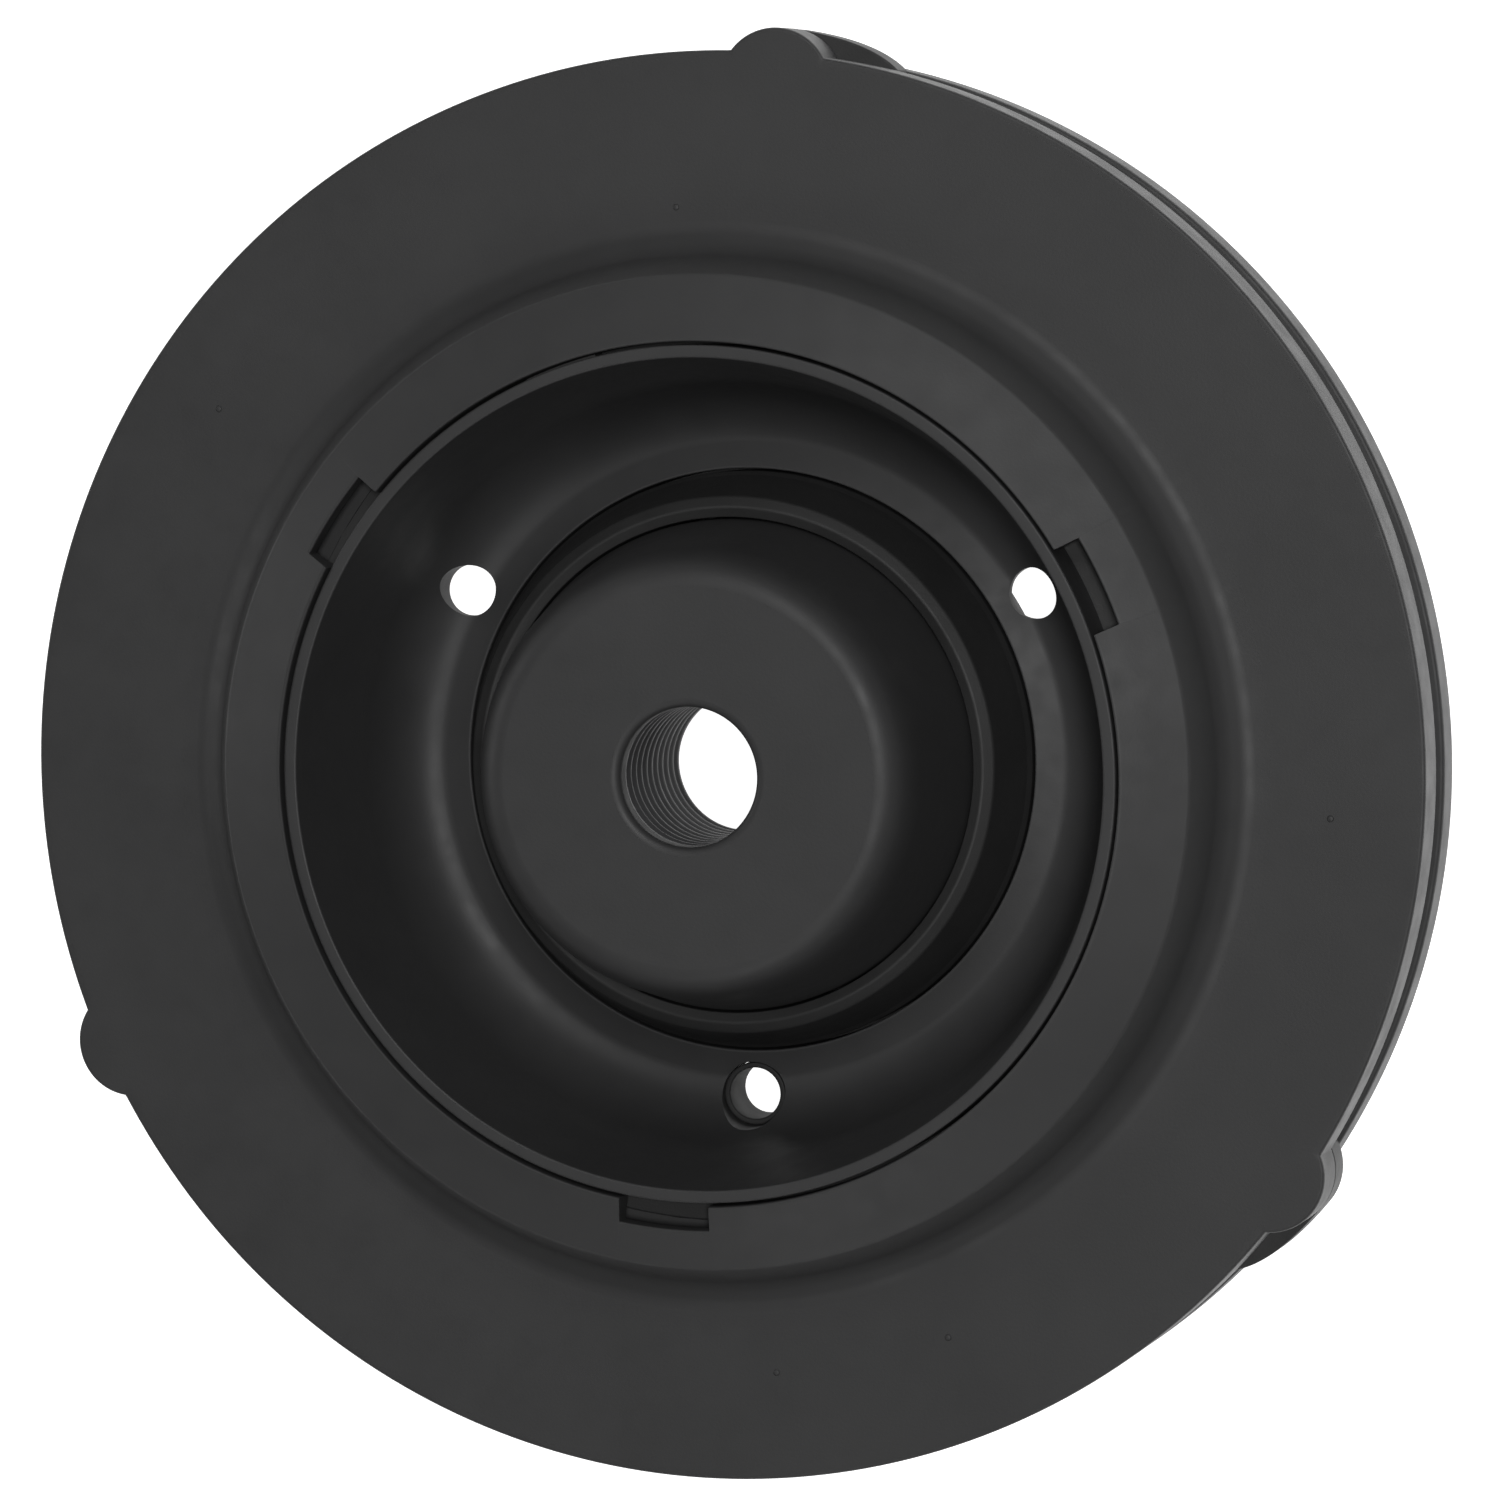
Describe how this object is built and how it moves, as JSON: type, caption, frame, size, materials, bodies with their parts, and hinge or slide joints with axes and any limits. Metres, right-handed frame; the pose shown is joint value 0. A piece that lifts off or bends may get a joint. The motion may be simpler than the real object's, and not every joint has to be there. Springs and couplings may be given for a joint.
{
  "type": "toilet flange",
  "caption": "Round black toilet flange: a swivelling rimmed ring with a raised notched collar, a pipe socket behind and a dished bayonet closing cup with a raised bored boss.",
  "frame": {"origin": "on the soil pipe's axis, in the plane of the pipe socket's mouth, the lowest plane of the part", "axes": "+Z along the pipe's axis, out of the floor towards the pan; the first drive hole of the closing cup lies 30.5 degrees from +X towards +Y"},
  "size_m": [0.1798, 0.1828, 0.0645],
  "materials": {
    "black_plastic": "satin charcoal moulding with a fine grain",
    "black_rubber": "matt black rubber",
    "bearing_plastic": "natural low-friction plastic",
    "zinc_steel": "zinc-plated steel",
    "black_steel": "blackened steel"
  },
  "bodies": {
    "hub": {"hub_socket": "black_plastic", "pipe_seal": "black_rubber", "seal_retainer": "bearing_plastic", "slide_ring": "black_plastic", "upper_thrust_washer": "bearing_plastic", "lower_thrust_washer": "bearing_plastic"},
    "ring": {"front_ring": "black_plastic", "rear_ring": "black_plastic", "rim_gasket": "black_rubber", "ring_screw_1": "zinc_steel", "ring_screw_2": "zinc_steel", "ring_screw_3": "zinc_steel", "ring_screw_4": "zinc_steel", "ring_screw_5": "zinc_steel", "ring_screw_6": "zinc_steel"},
    "cup": {"closing_cup": "black_plastic", "cup_seal": "black_rubber", "index_sleeve": "black_steel", "boss_boot": "black_rubber", "centre_boss": "black_plastic", "port_bush": "black_steel", "bush_clip": "black_steel", "boss_screw_1": "zinc_steel", "boss_screw_2": "zinc_steel", "boss_screw_3": "zinc_steel"}
  },
  "joints": [
    {"name": "ring_swivel", "type": "hinge", "parent": "hub", "child": "ring", "pos_m": [0, 0, 0.05], "axis": [0, 0, 1], "continuous": true},
    {"name": "cup_turn", "type": "hinge", "parent": "ring", "child": "cup", "pos_m": [0, 0, 0.05], "axis": [0, 0, 1], "range_deg": [0, 36]}
  ]
}
